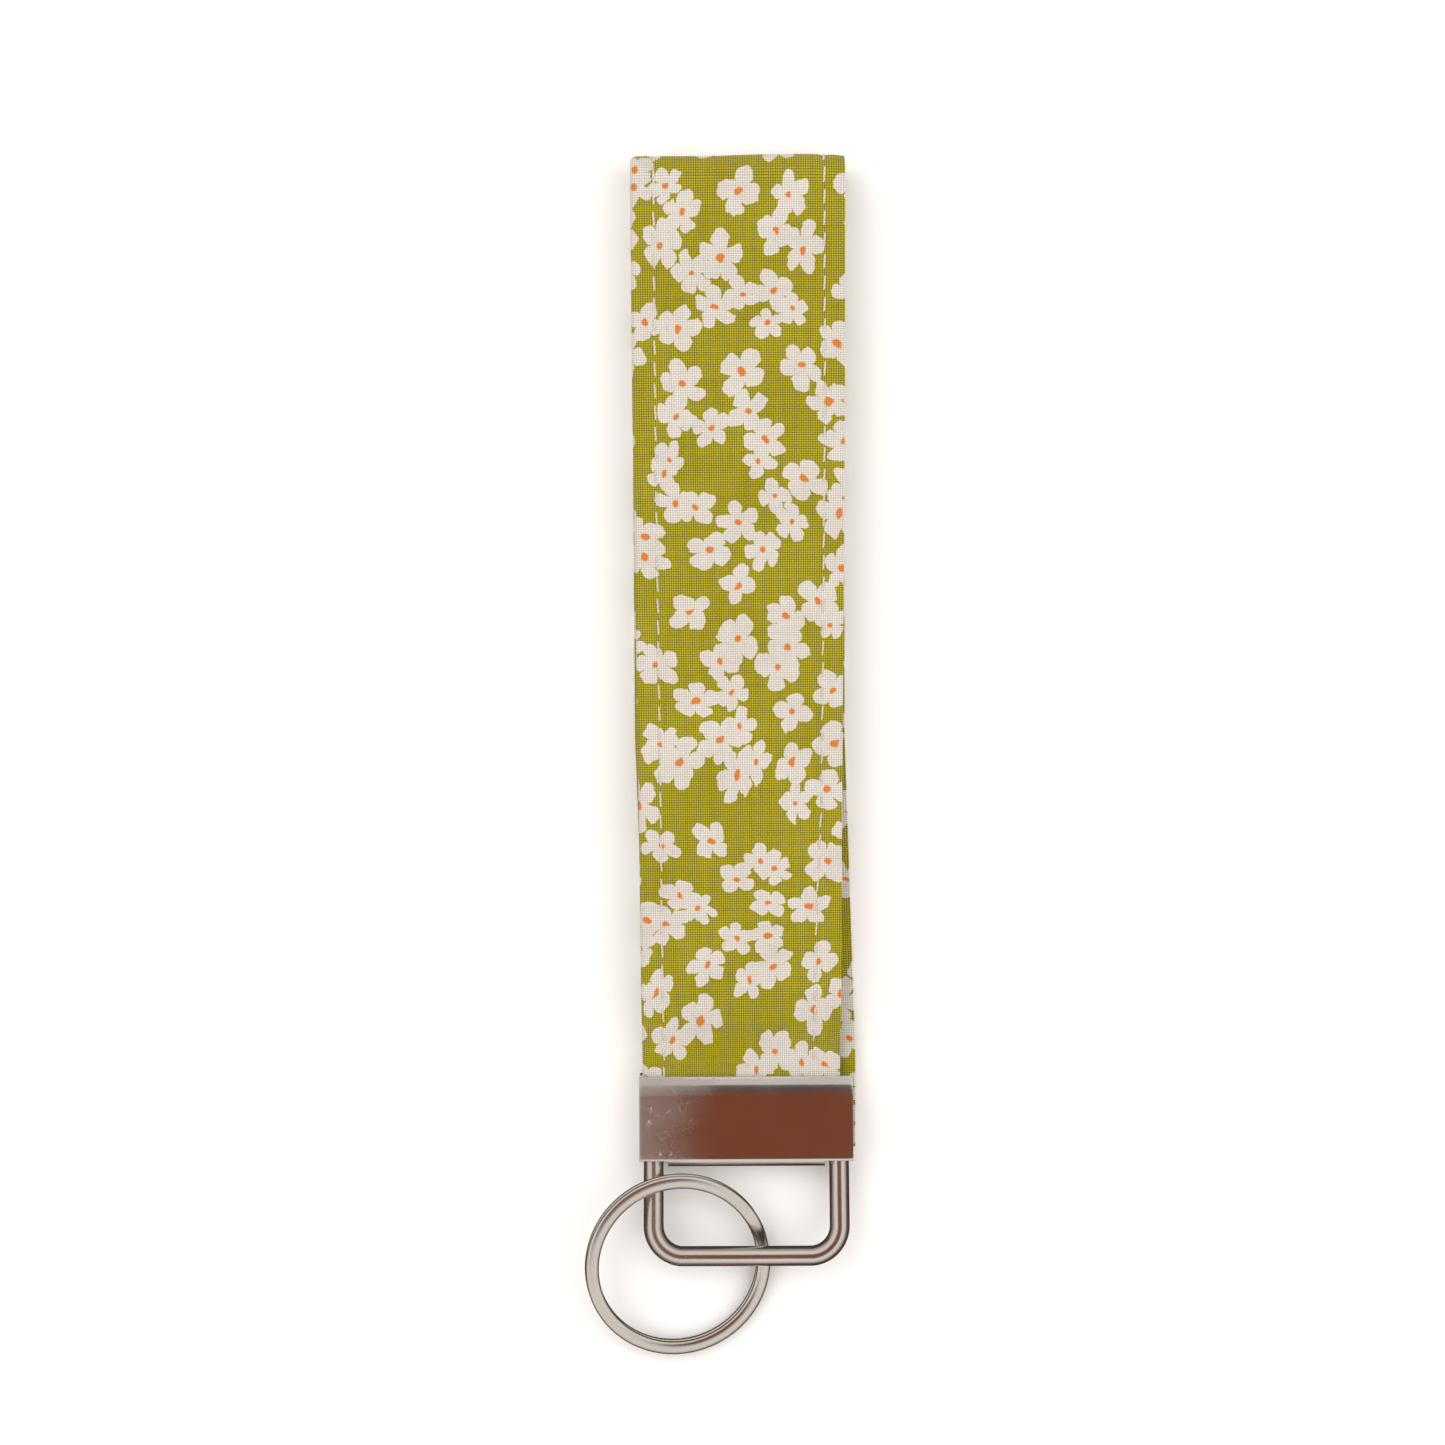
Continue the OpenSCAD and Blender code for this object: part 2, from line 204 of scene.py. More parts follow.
def folded_strip():
    """The strip's section: places across and out of its middle line, from one raw edge to the other."""
    edge = half_w - 0.35 * MM
    raw = half_w - 1.3 * MM
    wrap_r = 0.8 * MM
    wrap = half_w - wrap_r
    fold_r = (OUTER_H - INNER_H) / 2
    face = run(edge, (5, 13.4 * MM), (10, 11 * MM), (26, -11.2 * MM), (8, -13.4 * MM), (4, -wrap))
    bend = np.linspace(-math.pi / 2, math.pi / 2, 7)[1:-1]
    turned = run(-raw, (14, edge))
    top = [(x, INNER_H) for x in turned]
    top += [(edge + fold_r * math.cos(a), (OUTER_H + INNER_H) / 2 + fold_r * math.sin(a)) for a in bend]
    top += [(x, OUTER_H) for x in face]
    side = [(-wrap - (wrap_r - CLOTH_T / 2) * math.cos(a), OUTER_H * math.sin(a)) for a in bend[::-1]]
    return np.array(top + side + [(x, -h) for x, h in top[::-1]])


section = folded_strip()
section_u = np.concatenate([[0], np.cumsum(np.hypot(*np.diff(section, axis=0).T))])
section_u = section_u * STRIP_W / section_u[-1]


def select_none():
    bpy.ops.object.select_all(action="DESELECT")


def sheet_of(name, points, u, v):
    """A grid laid through points, which are rows of columns, with u and v as its flat places in metres."""
    rows, columns = points.shape[:2]
    select_none()
    bpy.ops.mesh.primitive_grid_add(x_subdivisions=columns - 1, y_subdivisions=rows - 1, size=1)
    obj = bpy.context.object
    obj.name = obj.data.name = name
    count = len(obj.data.vertices)
    flat = np.zeros(count * 3)
    obj.data.vertices.foreach_get("co", flat)
    flat = flat.reshape(-1, 3)
    column = np.rint((flat[:, 0] + 0.5) * (columns - 1)).astype(int)
    row = np.rint((flat[:, 1] + 0.5) * (rows - 1)).astype(int)
    obj.data.vertices.foreach_set("co", points[row, column].ravel())
    corner = np.zeros(len(obj.data.loops), int)
    obj.data.loops.foreach_get("vertex_index", corner)
    flat_uv = np.stack([np.asarray(u)[column[corner]], np.asarray(v)[row[corner]]], axis=1)
    obj.data.uv_layers.active.data.foreach_set("uv", flat_uv.ravel())
    obj.data.update()
    return obj


def apply_modifier(obj, kind, **settings):
    select_none()
    bpy.context.view_layer.objects.active = obj
    obj.select_set(True)
    modifier = obj.modifiers.new(kind.title(), kind)
    for key, value in settings.items():
        setattr(modifier, key, value)
    bpy.ops.object.modifier_apply(modifier=modifier.name)


def smooth(obj, degrees):
    select_none()
    bpy.context.view_layer.objects.active = obj
    obj.select_set(True)
    bpy.ops.object.shade_smooth_by_angle(angle=math.radians(degrees))


def dress(obj, finish):
    obj.data.materials.clear()
    obj.data.materials.append(finish)


# Finishes are made with numbers that vary over a surface, written as maths
class Field:
    """A number that varies over a surface."""

    def __init__(self, finish, socket):
        self.finish, self.socket = finish, socket

    def __add__(self, other):
        return self.finish.maths("ADD", self, other)

    def __sub__(self, other):
        return self.finish.maths("SUBTRACT", self, other)

    def __rsub__(self, other):
        return self.finish.maths("SUBTRACT", other, self)

    def __mul__(self, other):
        return self.finish.maths("MULTIPLY", self, other)

    def __truediv__(self, other):
        return self.finish.maths("DIVIDE", self, other)

    __radd__ = __add__


class Finish:
    """A node tree under the making: of a material, unless another tree is given."""

    def __init__(self, name, tree=None, **constants):
        if tree is None:
            self.material = bpy.data.materials.new(name)
            self.material.use_nodes = True
            tree = self.material.node_tree
            self.shader = next(n for n in tree.nodes if n.type == "BSDF_PRINCIPLED")
            for key, value in constants.items():
                self.shader.inputs[key.replace("_", " ")].default_value = value
        self.tree = tree

    def add(self, kind, settings=None, inputs=None):
        node = self.tree.nodes.new("ShaderNode" + kind)
        for key, value in (settings or {}).items():
            if key == "stops":
                self.set_stops(node.color_ramp, value)
            else:
                setattr(node, key, value)
        for key, value in (inputs or {}).items():
            self.feed(node.inputs[key], value)
        return node

    def set_stops(self, ramp, stops):
        while len(ramp.elements) < len(stops):
            ramp.elements.new(0.5)
        for element, (place, colour) in zip(ramp.elements, stops):
            element.position, element.color = place, colour

    def feed(self, socket, value):
        if isinstance(value, Field):
            value = value.socket
        if isinstance(value, bpy.types.NodeSocket):
            self.tree.links.new(value, socket)
        else:
            socket.default_value = value

    def maths(self, operation, *values):
        node = self.add("Math", {"operation": operation}, dict(enumerate(values)))
        return Field(self, node.outputs[0])

    def part(self, vector, axis):
        return Field(self, self.add("SeparateXYZ", inputs={0: vector}).outputs[axis])

    def vector(self, operation, a, b):
        return self.add("VectorMath", {"operation": operation}, {0: a, 1: b}).outputs[0]

    def noise(self, vector, scale, detail):
        node = self.add("TexNoise", inputs={"Vector": vector, "Scale": scale, "Detail": detail})
        return Field(self, node.outputs["Fac"])

    def between(self, value, low, high):
        """0 below low, 1 above high."""
        node = self.add("MapRange", {"interpolation_type": "SMOOTHSTEP"},
                        {"Value": value, "From Min": low, "From Max": high})
        return Field(self, node.outputs["Result"])

    def mix(self, factor, a, b, way="MIX"):
        node = self.add("Mix", {"data_type": "RGBA", "blend_type": way, "clamp_factor": True},
                        {0: factor, 6: a, 7: b})
        return node.outputs[2]

    def bump(self, height, strength, distance, normal=None):
        inputs = {"Strength": strength, "Distance": distance, "Height": height}
        if normal is not None:
            inputs["Normal"] = normal
        return self.add("Bump", inputs=inputs).outputs[0]

    def show(self, **sockets):
        for key, value in sockets.items():
            self.feed(self.shader.inputs[key.replace("_", " ")], value)
        return self.material


def paint(red, green, blue):
    """A colour as mixed on screen, 0 to 255, in the linear form that shaders take."""
    linear = [c / 12.92 if c <= 0.04045 else ((c + 0.055) / 1.055) ** 2.4
              for c in (red / 255, green / 255, blue / 255)]
    return (*linear, 1)


FLOWER_STEP = 6.9 * MM                             # usual distance from flower to flower
FLOWER_R = 3.5 * MM                                # reach of a large flower's petals
THREAD_PITCH = 0.35 * MM                           # distance from thread to thread in the weave


def printed_cotton():
    """Plain-woven cotton printed with small scattered blossoms on green."""
    f = Finish("printed_cotton", Specular_IOR_Level=0.18, Sheen_Weight=0.12, Sheen_Roughness=0.5)
    uv = f.add("TexCoord").outputs["UV"]
    drift = f.add("TexNoise", {"noise_dimensions": "2D"}, {"Vector": uv, "Scale": 420.0, "Detail": 2.0})
    drift = f.vector("SUBTRACT", drift.outputs["Color"], (0.5, 0.5, 0.5))
    drift = f.vector("MULTIPLY", drift, (1.5 * MM, 1.5 * MM, 0))
    turned = f.add("VectorRotate", {"rotation_type": "Z_AXIS"}, {"Vector": uv, "Angle": 0.55})
    stray = f.add("TexNoise", {"noise_dimensions": "2D"}, {"Vector": uv, "Scale": 50.0, "Detail": 0.0})
    stray = f.vector("MULTIPLY", stray.outputs["Color"], (5 * MM, 5 * MM, 0))
    place = f.vector("ADD", f.vector("ADD", turned.outputs[0], drift), stray)

    def blossom(feature):
        """How far inside a flower's outline a place is, and how far from its middle, in petal lengths."""
        cell = f.add("TexVoronoi", {"voronoi_dimensions": "2D", "feature": feature},
                     {"Vector": place, "Scale": 1 / FLOWER_STEP, "Randomness": 0.76})
        offset = f.vector("SUBTRACT", place, cell.outputs["Position"])
        x, y = f.part(offset, 0), f.part(offset, 1)
        chance = f.add("SeparateColor", inputs={0: cell.outputs["Color"]})
        turn, kind, size = (Field(f, chance.outputs[n]) for n in range(3))
        petals = f.maths("FLOOR", kind * 1.9 + 4.25)           # four to six
        angle = f.maths("ARCTAN2", y, x) + turn * (2 * math.pi)
        lobe = f.maths("POWER", f.maths("ABSOLUTE", f.maths("COSINE", angle * petals * 0.5)), 0.55)
        reach = f.maths("SQRT", x * x + y * y) / (size * (0.26 * FLOWER_R) + 0.8 * FLOWER_R)
        return lobe * 0.56 + 0.44 - reach, reach

    nearest, middle = blossom("F1")
    next_one, _ = blossom("F2")
    petal = f.between(f.maths("MAXIMUM", nearest, next_one), -0.02, 0.03)
    heart = f.between(middle, 0.21, 0.12)

    across, length = f.part(uv, 0) / THREAD_PITCH, f.part(uv, 1) / THREAD_PITCH
    in_warp, in_weft = f.maths("FRACT", across), f.maths("FRACT", length)
    warp_no, weft_no = f.maths("FLOOR", across), f.maths("FLOOR", length)
    over = f.maths("PINGPONG", warp_no + weft_no, 1)
    warp_round = f.maths("SINE", in_warp * math.pi)
    weft_round = f.maths("SINE", in_weft * math.pi)
    warp_top = warp_round * (weft_round * 0.55 + 0.45)
    weft_top = weft_round * (warp_round * 0.55 + 0.45)
    weave = warp_top * over + weft_top * (1 - over)
    slub = f.add("CombineXYZ", inputs={0: warp_no * 0.37, 1: length * 0.03})
    slub_weft = f.add("CombineXYZ", inputs={0: across * 0.03, 1: weft_no * 0.41, 2: 7.0})
    uneven_warp = f.noise(slub.outputs[0], 1.0, 1.0)
    uneven_weft = f.noise(slub_weft.outputs[0], 1.0, 1.0)
    uneven = uneven_warp * over + uneven_weft * (1 - over)

    cloud = f.noise(uv, 90.0, 3.0)
    green = f.mix(cloud, paint(166, 156, 14), paint(190, 180, 46))
    white = f.mix(cloud, paint(213, 207, 199), paint(232, 227, 220))
    orange = f.mix(cloud, paint(224, 122, 44), paint(228, 140, 66))
    ink = f.mix(heart, f.mix(petal, green, white), orange)
    # Painted shade: the colour darkens towards a dark olive in the crevices between the threads, less so on
    # the white petals
    shade = f.between(weave * (uneven * 0.7 + 0.65), 0.12, 0.9)
    colour = f.mix(shade, f.mix(0.88 - petal * 0.4, ink, paint(72, 64, 30)), ink)
    height = weave + uneven * 0.4
    normal = f.bump(height, 0.5, 0.1 * MM)
    return f.show(Base_Color=colour, Roughness=0.93 - weave * 0.1, Normal=normal)


cotton_finish = printed_cotton()

# Where each stretch starts, in order round the loop, and then what it is called, what it stands for,
# and the two bodies that it bends between
cuts = [0, along(14 * MM, 1), along(50 * MM, 1), along(110 * MM, 1), apex_s, along(110 * MM, -1),
        along(50 * MM, -1), along(neck_y, -1), loop_l]
mouth_bend = (6.9 * MM, 11.5 * MM)
stretches = [
    ("front_end", ["end_front"], "clamp", "neck", *mouth_bend),
    ("front_neck", ["neck_front"], "neck", "front_lower", 15 * MM, 32 * MM),
    ("front_lower", ["front_lower"], "front_lower", "front_upper", knee_y - 16 * MM, knee_y + 16 * MM),
    ("front_upper", ["front_upper"], "front_upper", "fold", fold_y - 12 * MM, fold_y + 0.6 * MM),
    ("fold", ["fold"], "fold", "back_upper", fold_y + 0.6 * MM, fold_y - 12 * MM),
    ("back_upper", ["back_upper"], "back_upper", "back_lower", knee_y + 16 * MM, knee_y - 16 * MM),
    ("back_lower", ["back_lower"], "back_lower", None, 0, 0),
    ("back_end", ["neck_back", "end_back"], "clamp", "neck", *mouth_bend),
]


def fasten(obj, stretch, cad_part):
    """A piece on one body is attached to it, and a piece between two bodies has its place baked into its
    mesh; the CAD nodes that it stands for are hidden.
    """
    _, nodes, first, second, start_y, end_y = stretch
    if second is None:
        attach(obj, first)
    else:
        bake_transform(obj)
    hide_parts(*[f"{cad_part}_{node}" for node in nodes])


def rings(start, end):
    """Places along a stretch, five to a stitch, and closer round the fold."""
    places = [start]
    while places[-1] < end - 1e-9:
        near_fold = abs(places[-1] - apex_s) < 9 * MM
        places.append(places[-1] + (0.4 * MM if near_fold else PITCH / 5))
    places = np.array(places)
    return start + (places - start) * (end - start) / (places[-1] - start)


for stretch, start, end in zip(stretches, cuts, cuts[1:]):
    s = rings(start, end)[:, None]
    across, out = section[None, :, 0], section[None, :, 1]
    layers = on_strap(s, across, out * plump(s, across))
    cotton = sheet_of(f"cotton_{stretch[0]}", layers, section_u, s[:, 0])
    apply_modifier(cotton, "SOLIDIFY", thickness=CLOTH_T, offset=0, use_even_offset=True)
    smooth(cotton, 50)
    dress(cotton, cotton_finish)
    fasten(cotton, stretch, "cover")
    end - start

# Padding: a strip of white fleece between the folded layers, as long as the strap. The two seams hold it,
# and it is made in the same stretches of the loop as the cotton is.
CORE_HALF_W = 14.2 * MM
CORE_HALF_T = 0.46 * MM
CORE_EDGE = 0.3 * MM                               # its long edges are rounded out by this
HINGE_GAP = 0.32 * MM                              # the padding stops short of the back leg's hinge


def tube_of(name, points):
    """A closed solid through rings of points: each ring is closed, and the first and last are filled."""
    closed = np.concatenate([points, points[:, :1]], axis=1)
    u = np.linspace(0, 1, closed.shape[1])
    v = np.arange(closed.shape[0])
    obj = sheet_of(name, closed, u, v)
    bpy.ops.object.mode_set(mode="EDIT")
    bpy.ops.mesh.select_all(action="SELECT")
    bpy.ops.mesh.remove_doubles(threshold=1e-6)
    bpy.ops.mesh.select_all(action="DESELECT")
    bpy.ops.mesh.select_mode(type="EDGE")
    bpy.ops.mesh.select_non_manifold()
    bpy.ops.mesh.fill_holes(sides=0)
    bpy.ops.mesh.select_all(action="SELECT")
    bpy.ops.mesh.normals_make_consistent(inside=False)
    bpy.ops.object.mode_set(mode="OBJECT")
    return obj


def fleece():
    """Pressed white fleece of short matted fibres."""
    f = Finish("fleece", Specular_IOR_Level=0.1, Sheen_Weight=0.3, Sheen_Roughness=0.6)
    spot = f.add("TexCoord").outputs["Object"]
    felt = f.noise(spot, 2400.0, 5.0)
    tuft = f.noise(spot, 500.0, 3.0)
    colour = f.mix(felt, paint(205, 200, 190), paint(244, 241, 234))
    normal = f.bump(felt + tuft, 0.6, 0.12 * MM)
    return f.show(Base_Color=colour, Roughness=0.9 + tuft * 0.1, Normal=normal)


fleece_finish = fleece()
core_x = run(-CORE_HALF_W, (24, CORE_HALF_W))
core_section = np.array([(x, CORE_HALF_T) for x in core_x] + [(CORE_HALF_W + CORE_EDGE, 0)]
                        + [(x, -CORE_HALF_T) for x in core_x[::-1]] + [(-CORE_HALF_W - CORE_EDGE, 0)])
for stretch, start, end in zip(stretches, cuts, cuts[1:]):
    if stretch[0] == "back_lower":
        end -= HINGE_GAP
    if stretch[0] == "back_end":
        start += HINGE_GAP
    s = rings(start, end)[:, None]
    across, out = core_section[None, :, 0], core_section[None, :, 1]
    core = tube_of(f"padding_{stretch[0]}", on_strap(s, across, out * plump(s, across)))
    smooth(core, 50)
    dress(core, fleece_finish)
    fasten(core, stretch, "core")

# Seam threads: white polyester, lockstitched through all the layers in two rows. The needle's thread shows
# on the loop's outside and the bobbin's thread on its inside; each stitch dives into the holes at its ends.
STITCH_R = 0.15 * MM
STITCH_HALF = 1.38 * MM                            # half of the part of a stitch that shows
SINK = 0.34 * MM                                   # how deep its ends go into the holes
SLANT = 0.1 * MM                                   # how far each end of a stitch lies to the row's side
STITCH_SIDES = 6
stitch_along = np.linspace(-1, 1, 8)[:, None]
stitch_turn = np.arange(STITCH_SIDES)[None, :] * 2 * math.pi / STITCH_SIDES


def stitch_thread():
    """Two plies of thread twisted together, a little glossy."""
    f = Finish("seam_thread", Specular_IOR_Level=0.4, Sheen_Weight=0.2)
    uv = f.add("TexCoord").outputs["UV"]
    twist = f.maths("SINE", (f.part(uv, 0) * 2 + f.part(uv, 1) * 0.55) * (2 * math.pi)) * 0.5 + 0.5
    # Painted shade: the thread's colour darkens in the grooves between its plies, where the bump is low
    colour = f.mix(twist, paint(180, 175, 166), paint(218, 214, 206))
    normal = f.bump(twist, 0.5, 0.05 * MM)
    return f.show(Base_Color=colour, Roughness=0.62 + twist * 0.1, Normal=normal)


def stitches(name, start, end, face):
    """The stitches of both rows on the outer (1) or inner (-1) face, from start to end along the loop."""
    rows = []
    first, last = math.ceil(start / PITCH), math.ceil(end / PITCH)
    for number in range(first, last):
        for side in (-1, 1):
            s = number * PITCH + stitch_along * STITCH_HALF
            thin = STITCH_R * (1 - 0.35 * stitch_along ** 6)
            seam = seam_at(side, s) + side * SLANT * stitch_along
            x = seam + thin * np.cos(stitch_turn)
            surface = OUTER_H * plump(s, seam) + CLOTH_T / 2
            lie = surface + 0.3 * STITCH_R - SINK * np.abs(stitch_along) ** 5
            rows.append(on_strap(s + 0 * x, x, face * (lie + thin * np.sin(stitch_turn))))
    return [tube_of(f"{name}_{n}", points) for n, points in enumerate(rows)]


def joined(name, objects):
    select_none()
    for obj in objects:
        obj.select_set(True)
    bpy.context.view_layer.objects.active = objects[0]
    bpy.ops.object.join()
    obj = bpy.context.object
    obj.name = obj.data.name = name
    return obj


thread_finish = stitch_thread()
for stretch, start, end in zip(stretches, cuts, cuts[1:]):
    for thread, face in (("needle_thread", 1), ("bobbin_thread", -1)):
        seam = joined(f"{thread}_{stretch[0]}", stitches(thread, start, end, face))
        smooth(seam, 60)
        dress(seam, thread_finish)
        fasten(seam, stretch, thread)

# Clamp: a stamped blank of nickel-plated steel, 0.8 mm thick, bent into a channel over the strap's two ends.
# Its lips turn in and end in small teeth, and the fold is notched at both ends for the bail's wire.
SHEET_T = 0.8 * MM
WEB_R = 1.4 * MM                                   # outer radius of the blank's bends
LIP_Y = np.array([3.6, 4.0, 5.4, 5.6, 6.75]) * MM  # each lip is creased twice, down on to the strap
LIP_SLOPE = [0, 0.19, 0.25, 0.3, 0.3]              # how steeply it falls at each of those places
TOOTH_H = 0.15 * MM                                # how far each tooth stands in from its lip
TOOTH_X = 10.5 * MM                                # no tooth is farther out than this
NOTCH_X = 11.75 * MM                               # the notches start this far out to each side
NOTCH_Y = 1.4 * MM                                 # and reach this far up from the fold's outer face
NOTCH_Z = 3.14 * MM                                # and this far to the front and the back
clamp_half = (clamp_high.x - clamp_low.x) / 2
clamp_t = clamp_high.z - clamp_low.z


def bent_profile():
    """The channel's outer line in side view, as Y and height over the middle plane, from lip to lip."""
    fold = np.linspace(math.pi / 2, math.pi, 13)
    web_y, web_z = clamp_low.y + WEB_R, clamp_t / 2 - WEB_R
    half = []
    lip_y = np.linspace(LIP_Y[0], LIP_Y[-1], 200)
    lip_drop = np.cumsum(np.interp(lip_y, LIP_Y, LIP_SLOPE)) * (lip_y[1] - lip_y[0])
    face_y = run(clamp_high.y, (6, LIP_Y[3]), (3, LIP_Y[2]), (6, LIP_Y[1]), (4, LIP_Y[0]), (12, web_y))
    for y in face_y[:-1]:
        half.append((y, clamp_t / 2 - np.interp(y, lip_y, lip_drop)))
    half += [(web_y + WEB_R * math.cos(a), web_z + WEB_R * math.sin(a)) for a in fold]
    half += [(clamp_low.y, z) for z in run(web_z, (3, 0))[1:-1]]
    return np.array(half + [(clamp_low.y, 0)] + [(y, -z) for y, z in half[::-1]])


def nickel(name, roughness, marks):
    """Bright nickel plate, faintly rippled; marks is how scratched and smeared its left side is, 0 to 1."""
    f = Finish(name, Metallic=1.0)
    spot = f.add("TexCoord").outputs["Object"]
    haze = f.noise(spot, 130.0, 3.0)
    grain = f.noise(f.vector("MULTIPLY", spot, (0.12, 1.0, 1.0)), 9000.0, 2.0)
    ripple = f.noise(spot, 260.0, 1.0)
    left = f.between(f.part(spot, 0) + haze * 14 * MM, 4 * MM, -8 * MM)
    hair = f.maths("ABSOLUTE", f.noise(spot, 620.0, 1.0) - 0.5)
    hair = f.between(hair, 0.006, 0.001) * f.between(f.noise(spot, 380.0, 1.0), 0.46, 0.56) * left * marks
    colour = f.mix(haze, (0.66, 0.63, 0.6, 1), (0.78, 0.75, 0.72, 1))
    colour = f.mix(hair, colour, (0.8, 0.78, 0.75, 1))
    rough = haze * 0.06 + grain * 0.05 + hair * 0.3 + left * marks * 0.21 + (roughness - 0.05)
    normal = f.bump(ripple, 0.12, 0.05 * MM)
    normal = f.bump(grain + hair * 2, 0.08, 0.01 * MM, normal)
    return f.show(Base_Color=colour, Roughness=rough, Normal=normal)


profile = bent_profile()
blank_x = np.array(run(-clamp_half, (7, -NOTCH_X), (40, NOTCH_X), (7, clamp_half)))
blank = np.zeros((len(profile), len(blank_x), 3))
blank[..., 0] = blank_x
blank[..., 1] = profile[:, :1]
blank[..., 2] = mid_z + profile[:, 1:]
tooth = TOOTH_H * (np.arange(len(blank_x)) % 4 == 1) * (np.abs(blank_x) < TOOTH_X)
blank[0, :, 2] -= tooth
blank[-1, :, 2] += tooth
blank = blank[:, ::-1]
clamp = sheet_of("clamp", blank, blank_x, np.arange(len(profile)) * MM)
bpy.ops.object.mode_set(mode="EDIT")
bpy.ops.mesh.select_all(action="DESELECT")
bpy.ops.mesh.select_mode(type="FACE")
bpy.ops.object.mode_set(mode="OBJECT")
for face in clamp.data.polygons:
    centre = face.center
    face.select = (abs(centre.x) > NOTCH_X and centre.y < clamp_low.y + NOTCH_Y
                   and abs(centre.z - mid_z) < NOTCH_Z)
bpy.ops.object.mode_set(mode="EDIT")
bpy.ops.mesh.delete(type="FACE")
bpy.ops.object.mode_set(mode="OBJECT")
apply_modifier(clamp, "SOLIDIFY", thickness=SHEET_T, offset=-1, use_even_offset=True)
apply_modifier(clamp, "BEVEL", width=0.2 * MM, segments=3, limit_method="ANGLE", angle_limit=math.radians(55))
smooth(clamp, 40)
dress(clamp, nickel("clamp_nickel_plate", 0.12, 1.0))
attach(clamp, "clamp")
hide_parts("clamp_shell")

# Bail: 3 mm nickel-plated steel wire, bent into a closed rectangle. Its upper bar turns in the clamp's
# fold, and its lower bar carries the ring.
_, bail_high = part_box("wire_bail")
WIRE_R = 1.5 * MM
TOP_R = 2.2 * MM                                   # radius of the wire's middle line at the upper corners
LOW_R = 4.5 * MM                                   # and at the free corners
BAIL_DROP = 16 * MM                                # from the upper bar's middle to the lower bar's
BAIL_TILT = math.radians(8)                        # it rests on the ring, a little up from the clamp's plane
WIRE_SIDES = 28
BAR_STEPS = 8
leg_x = bail_high.x - WIRE_R
pivot_y = bail_high.y - WIRE_R


def extrude(x, y):
    bpy.ops.mesh.extrude_region_move(TRANSFORM_OT_translate={"value": (x, y, 0)})


select_none()
bpy.ops.mesh.primitive_circle_add(
    vertices=WIRE_SIDES, radius=WIRE_R, location=(0, pivot_y, mid_z), rotation=(0, math.pi / 2, 0))
bail = bpy.context.object
bail.name = bail.data.name = "bail"
bpy.ops.object.transform_apply(location=True, rotation=True, scale=True)
bpy.ops.object.mode_set(mode="EDIT")
bpy.ops.mesh.select_all(action="SELECT")
extrude(leg_x - TOP_R, 0)
top_corner = (leg_x - TOP_R, pivot_y - TOP_R, mid_z)
bpy.ops.mesh.spin(steps=12, angle=math.pi / 2, center=top_corner, axis=(0, 0, 1))
extrude(0, -(BAIL_DROP - TOP_R - LOW_R))
free_corner = (leg_x - LOW_R, pivot_y - BAIL_DROP + LOW_R, mid_z)
bpy.ops.mesh.spin(steps=18, angle=math.pi / 2, center=free_corner, axis=(0, 0, 1))
for _ in range(BAR_STEPS):
    extrude(-(leg_x - LOW_R) / BAR_STEPS, 0)
bpy.ops.mesh.select_all(action="SELECT")
bpy.ops.transform.rotate(value=BAIL_TILT, orient_axis="X", center_override=(0, pivot_y, mid_z))
bpy.ops.object.mode_set(mode="OBJECT")
apply_modifier(bail, "MIRROR", use_axis=(True, False, False), use_clip=True, merge_threshold=1e-5)
bpy.ops.object.mode_set(mode="EDIT")
bpy.ops.mesh.select_all(action="SELECT")
bpy.ops.mesh.remove_doubles(threshold=1e-6)
bpy.ops.mesh.normals_make_consistent(inside=False)
bpy.ops.object.mode_set(mode="OBJECT")
smooth(bail, 60)
dress(bail, nickel("bail_nickel_plate", 0.2, 0.3))
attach(bail, "bail")
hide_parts("wire_bail")

# Split ring: flat spring wire with rounded edges, wound nearly twice round. The wire steps from the lower
# coil to the upper one, and the ring lies over the bail's left leg and under its lower bar.
RING_W = 2 * MM
COIL_T = 0.98 * MM
COIL_STEP = 1.02 * MM                              # from one coil's middle to the other's
STEP_A = math.radians(28)                          # the step's share of a turn
RING_SIDES = 20
SPLIT_A = math.radians(20)                         # where the split points, from +X
ring_points = np.array([v.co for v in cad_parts["split_ring"].data.vertices])
ring_middle = (ring_points.min(0) + ring_points.max(0)) / 2
ring_axis = np.linalg.svd(ring_points - ring_middle, full_matrices=False)[2][2]
ring_axis = Vector(ring_axis * np.sign(ring_axis[2]))
ring_r = np.linalg.norm(np.cross(ring_points - ring_middle, ring_axis), axis=1).max() - RING_W / 2
lean = Vector((0, 0, 1)).rotation_difference(ring_axis).to_matrix()


def ring_wire():
    """Points round the wire's section, ring by ring, from its end on the lower coil to that on the upper."""
    turns = [STEP_A / 2, 2 * math.pi - STEP_A / 2, 2 * math.pi + STEP_A / 2, 4 * math.pi - STEP_A / 2]
    turn = np.array(run(turns[0], (110, turns[1]), (16, turns[2]), (110, turns[3])))
    heading = turn + SPLIT_A
    climb = np.clip((turn - 2 * math.pi) * math.pi / STEP_A, -math.pi / 2, math.pi / 2)
    rise = COIL_STEP / 2 * np.sin(climb)
    around = np.arange(RING_SIDES) * 2 * math.pi / RING_SIDES
    wide = np.sign(np.cos(around)) * np.abs(np.cos(around)) ** 0.8 * RING_W / 2
    tall = np.sign(np.sin(around)) * np.abs(np.sin(around)) ** 0.85 * COIL_T / 2
    reach = ring_r + wide[None, :]
    flat = np.stack([reach * np.cos(heading)[:, None], reach * np.sin(heading)[:, None],
                     rise[:, None] + tall[None, :]], axis=-1)
    return ring_middle + flat @ np.array(lean).T


ring = tube_of("split_ring_wire", ring_wire())
smooth(ring, 50)
dress(ring, nickel("ring_spring_steel", 0.2, 0.2))
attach(ring, "ring")
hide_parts("split_ring")

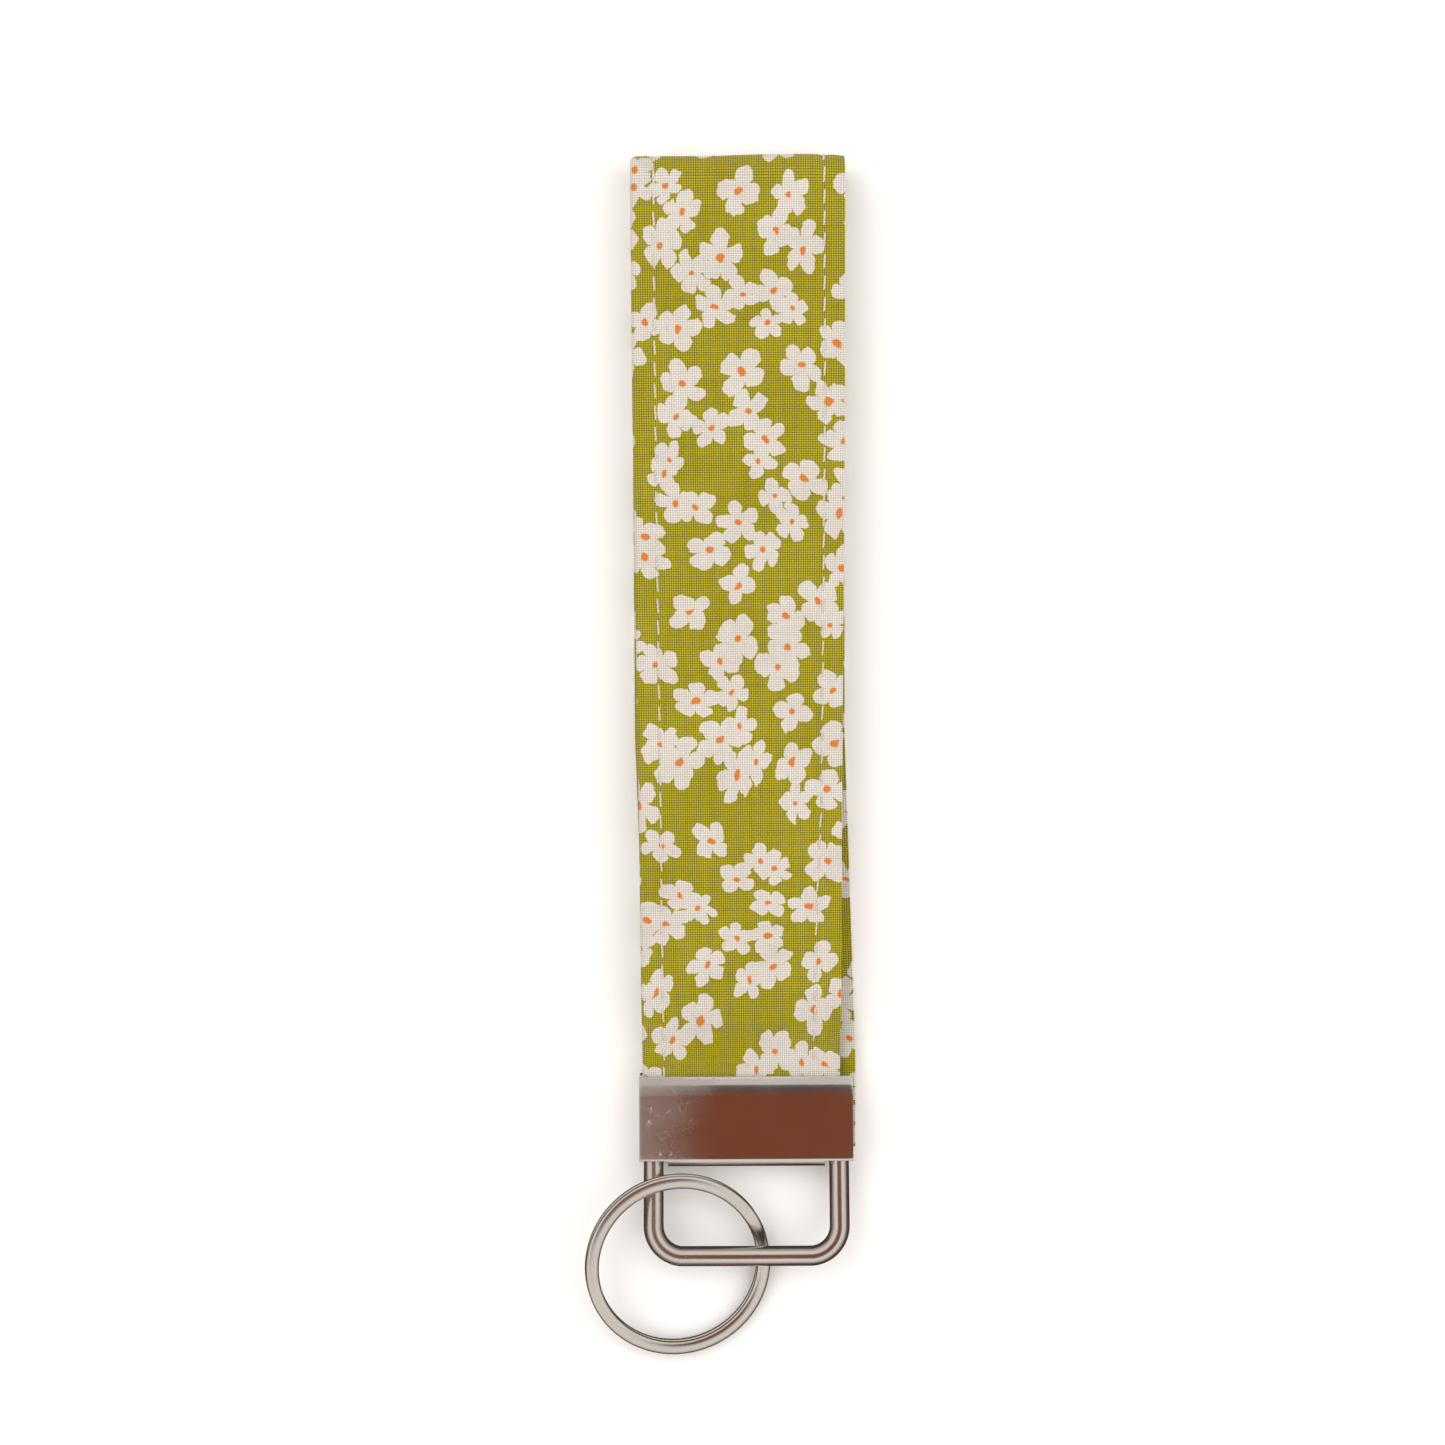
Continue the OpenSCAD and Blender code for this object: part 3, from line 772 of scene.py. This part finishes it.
# Studio: a pale floor, a soft surround that is bright at the sides and dim overhead, two large lamps, and a
# camera that looks straight down
select_none()
bpy.ops.mesh.primitive_plane_add(size=4, location=(0, 0, cad_box[0].z - 0.02 * MM))
floor = bpy.context.object
floor.name = floor.data.name = "floor"
floor.visible_glossy = False
floor.data.materials.append(Finish("pale_floor", Base_Color=(0.93, 0.93, 0.93, 1), Roughness=0.8).material)

VIEW_X = -3.3 * MM
VIEW_Y = 59.7 * MM
VIEW_W = 216.1 * MM                                # width that the camera sees at the height FOCUS_Z
VIEW_TURN = math.radians(-0.25)
VIEW_DISTANCE = 450 * MM                           # from the camera to that height
FOCUS_Z = 6 * MM
LIGHT_SIZE = 1.2
camera = bpy.data.objects.new("camera", bpy.data.cameras.new("camera"))
bpy.context.scene.collection.objects.link(camera)
camera.location = (VIEW_X, VIEW_Y, FOCUS_Z + VIEW_DISTANCE)
camera.rotation_euler = (0, 0, VIEW_TURN)
camera.data.lens = camera.data.sensor_width * VIEW_DISTANCE / VIEW_W
bpy.context.scene.camera = camera

world = bpy.data.worlds.new("studio")
world.use_nodes = True
bpy.context.scene.world = world
sky = Finish("studio", tree=world.node_tree)
height = sky.part(sky.add("TexCoord").outputs["Generated"], 2) * 0.5 + 0.5
surround = sky.add("ValToRGB", {"stops": [
    (0.0, (0.1, 0.07, 0.05, 1)),
    (0.49, (0.16, 0.11, 0.09, 1)),
    (0.6, (0.72, 0.66, 0.6, 1)),
    (0.8, (1.36, 1.29, 1.2, 1)),
    (0.945, (1.42, 1.34, 1.24, 1)),
    (0.958, (0.42, 0.42, 0.44, 1)),
    (0.97, (0.09, 0.1, 0.15, 1)),
    (0.98, (0.38, 0.115, 0.055, 1)),
]}, {0: height})
background = next(n for n in world.node_tree.nodes if n.type == "BACKGROUND")
sky.feed(background.inputs["Color"], surround.outputs[0])
background.inputs["Strength"].default_value = 0.62

for name, x, y, z, power in (("key", -0.5, 0.4, 0.9, 7.6), ("fill", 0.6, -0.1, 0.8, 5.6)):
    light = bpy.data.objects.new(name, bpy.data.lights.new(name, "AREA"))
    bpy.context.scene.collection.objects.link(light)
    light.data.size, light.data.energy = LIGHT_SIZE, power
    light.visible_glossy = False
    light.location = (x, y, z)
    direction = -light.location
    light.rotation_euler = direction.to_track_quat("-Z", "Y").to_euler()
bpy.context.scene.view_settings.view_transform = "Standard"
